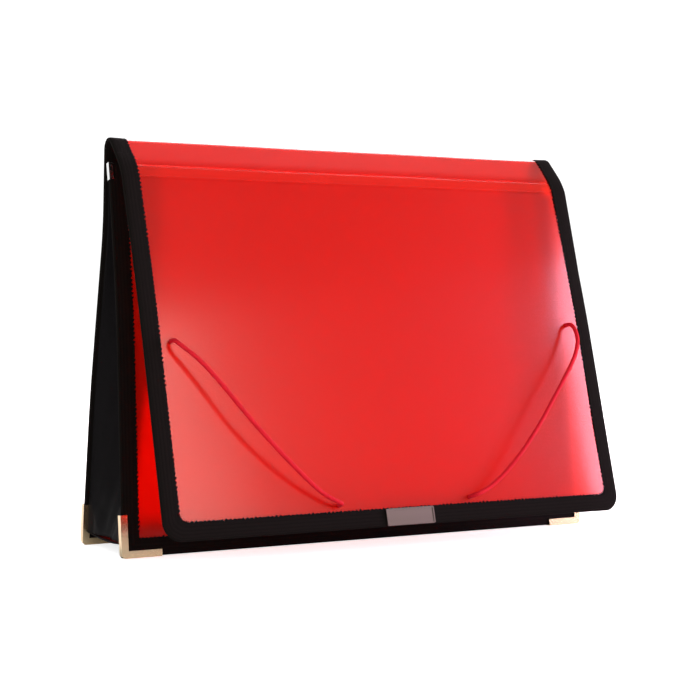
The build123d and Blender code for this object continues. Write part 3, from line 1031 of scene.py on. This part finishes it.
for piece, slot, nodes in (
        (back_sheet, "frosted_sheet", ("rear_panel", "spine_sheet")),
        (back_tape, "binding_tape", ("rear_binding", "spine_binding_left", "spine_binding_right"))):
    settle(piece, None, nodes)
    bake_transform(piece)
settle(flap_sheet, "flap", ("flap_panel", "crease_strip"))
settle(flap_tape, None, ("flap_binding",))
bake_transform(flap_tape)
settle(front_sheet, "front", ("front_panel",))
settle(front_tape, "front", ("front_binding",))
for node, cloth in gussets.items():
    settle(cloth, None, (node,))
    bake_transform(cloth)
    size = FLOOR_CUT if node == "gusset_floor" else SIDE_CUT

# %% [markdown]
# The metal guards, the crimps, the label plate, the beads and the cord's straight run behind the flap are
# rigid or hidden, and their solids already have the right form. They keep their meshes and only get their
# finish.

# %% Finishes of the solids that stay
KEPT_FINISHES = (
    (gold_material, ("corner_front_left", "corner_front_right", "corner_rear_left", "corner_rear_right")),
    (silver_material, ("clip_left", "clip_right")),
    (label_material, ("label_plate",)),
    (cord_material, ("elastic_back",)),
    (bead_material, ("elastic_stop_left", "elastic_stop_right")),
)
for material, nodes in KEPT_FINISHES:
    for node in nodes:
        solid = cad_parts[node]
        solid.data.materials.clear()
        solid.data.materials.append(material)
    print(material.name, "on", len(nodes), "solids")

# %% [markdown]
# The bag stands in a white studio. The simplest white background is a very bright world, but that would also
# bleach the bag. So the world is told which rays it meets: for the camera, and for light that comes through
# the sheet, it is plain white at a strength of 1. For all other rays it acts as a dim dome that is stronger
# behind the bag than in front, which makes the sheet glow from within. Mirrored rays stay with the dim dome.
# A white one would make the sheet clearly paler and the gold plate lighter, and would hardly touch the black
# tape.

# %% World
WORLD_FRONT = 0.34
WORLD_BACK = 1.15
FRONT_UNTIL = -0.2
BACK_FROM = 0.4


def white_to_camera(tree):
    """Mask of the rays that should see plain white: from the camera, or through the sheet."""
    path = tree.nodes.new("ShaderNodeLightPath")
    return add_math(tree, "MAXIMUM", path.outputs["Is Camera Ray"], path.outputs["Is Transmission Ray"])


world = bpy.data.worlds.new("studio")
bpy.context.scene.world = world
world.use_nodes = True
world_tree = world.node_tree
world_shader = world_tree.nodes["Background"]
world_shader.inputs["Color"].default_value = (1, 1, 1, 1)
direction = world_tree.nodes.new("ShaderNodeSeparateXYZ")
world_tree.links.new(coordinates(world_tree, "Generated"), direction.inputs[0])
behind = world_tree.nodes.new("ShaderNodeMapRange")
world_tree.links.new(direction.outputs["Y"], behind.inputs["Value"])
behind.inputs["From Min"].default_value = FRONT_UNTIL
behind.inputs["From Max"].default_value = BACK_FROM
behind.inputs["To Min"].default_value = WORLD_FRONT
behind.inputs["To Max"].default_value = WORLD_BACK
seen = add_math(world_tree, "MAXIMUM", white_to_camera(world_tree), behind.outputs["Result"])
world_tree.links.new(seen, world_shader.inputs["Strength"])
print("world from", WORLD_FRONT, "in front to", WORLD_BACK, "behind")

# %% [markdown]
# The floor is a pale matt sheet, large enough to reach past the picture. Lit by the lamps alone it would
# come out grey and end in a visible line against the white world. It therefore gives off some white of its
# own, but again only for the camera and through the sheet, so it lifts the background and adds no light to
# the bag. The shadow under the feet stays faintly visible.

# %% Floor
FLOOR_SIZE_METRES = 12.0
FLOOR_WHITE = (0.9, 0.9, 0.9)
FLOOR_ROUGHNESS = 0.9
FLOOR_GLOW = 0.75

floor_mesh = bmesh.new()
bmesh.ops.create_grid(floor_mesh, x_segments=1, y_segments=1, size=FLOOR_SIZE_METRES / 2)
floor_data = bpy.data.meshes.new("studio_floor")
floor_mesh.to_mesh(floor_data)
floor_mesh.free()
floor = bpy.data.objects.new("studio_floor", floor_data)
bpy.context.scene.collection.objects.link(floor)
floor_material, floor_tree, floor_shader = new_material("pale_floor", FLOOR_WHITE, FLOOR_ROUGHNESS)
floor_shader.inputs["Specular IOR Level"].default_value = 0.0
glow = white_to_camera(floor_tree)
range_to(floor_tree, glow, 0.0, FLOOR_GLOW, floor_shader.inputs["Emission Strength"])
floor_shader.inputs["Emission Color"].default_value = (1, 1, 1, 1)
floor_data.materials.append(floor_material)
print("floor", FLOOR_SIZE_METRES, "m wide")

# %% [markdown]
# A glossy sheet is lit by what it mirrors, so the lamps are large soft boxes and their places are chosen by
# reflection. The tall pink-white one at the right is mirrored by the curled edge of the flap and makes the
# pale band there. The one at the left lies in the lower left corner. The key, in front and above, is small
# and weak and gives the plain red of the middle, and one behind and above lights the inside of the bag.
# Each stands at an angle round the bag and an angle up. Distances and sizes are in metres, and power is in
# watts.

# %% Lamps
BAG_MIDDLE = (0.0, -0.03, 0.13)
TURNING_HEIGHT = 0.12
LAMPS = (
    ("key", (15, 21, 2.2), (0.5, 0.9), 12, (1.0, 0.91, 0.80)),
    ("right_band", (62.5, 8, 2.0), (1.1, 1.5), 70, (1.0, 0.72, 0.98)),
    ("left_fill", (-50, 6, 2.2), (1.2, 1.0), 15, (1.0, 0.9, 0.9)),
    ("back_glow", (148, 42, 1.8), (1.2, 1.0), 27, (1.0, 0.84, 0.90)),
)


def around(turn, rise, distance):
    """Place at an angle from the front towards the right, and an angle up."""
    flat = distance * math.cos(math.radians(rise))
    side = math.radians(turn)
    height = TURNING_HEIGHT + distance * math.sin(math.radians(rise))
    return (flat * math.sin(side), -flat * math.cos(side), height)


def softbox(name, place, target, size, power, colour):
    """Area lamp of a width and height that faces a target."""
    lamp_data = bpy.data.lights.new(name, "AREA")
    lamp_data.shape = "RECTANGLE"
    lamp_data.size = size[0]
    lamp_data.size_y = size[1]
    lamp_data.energy = power
    lamp_data.color = colour
    lamp = bpy.data.objects.new(name, lamp_data)
    lamp.location = place
    lamp.rotation_euler = (Vector(target) - Vector(place)).to_track_quat("-Z", "Y").to_euler()
    bpy.context.scene.collection.objects.link(lamp)
    return lamp


for name, stand, size, power, colour in LAMPS:
    lamp = softbox(name, around(*stand), BAG_MIDDLE, size, power, colour)
    print(lamp.name, power, "W at", [round(value, 2) for value in lamp.location])
bpy.context.scene.view_settings.view_transform = "Standard"
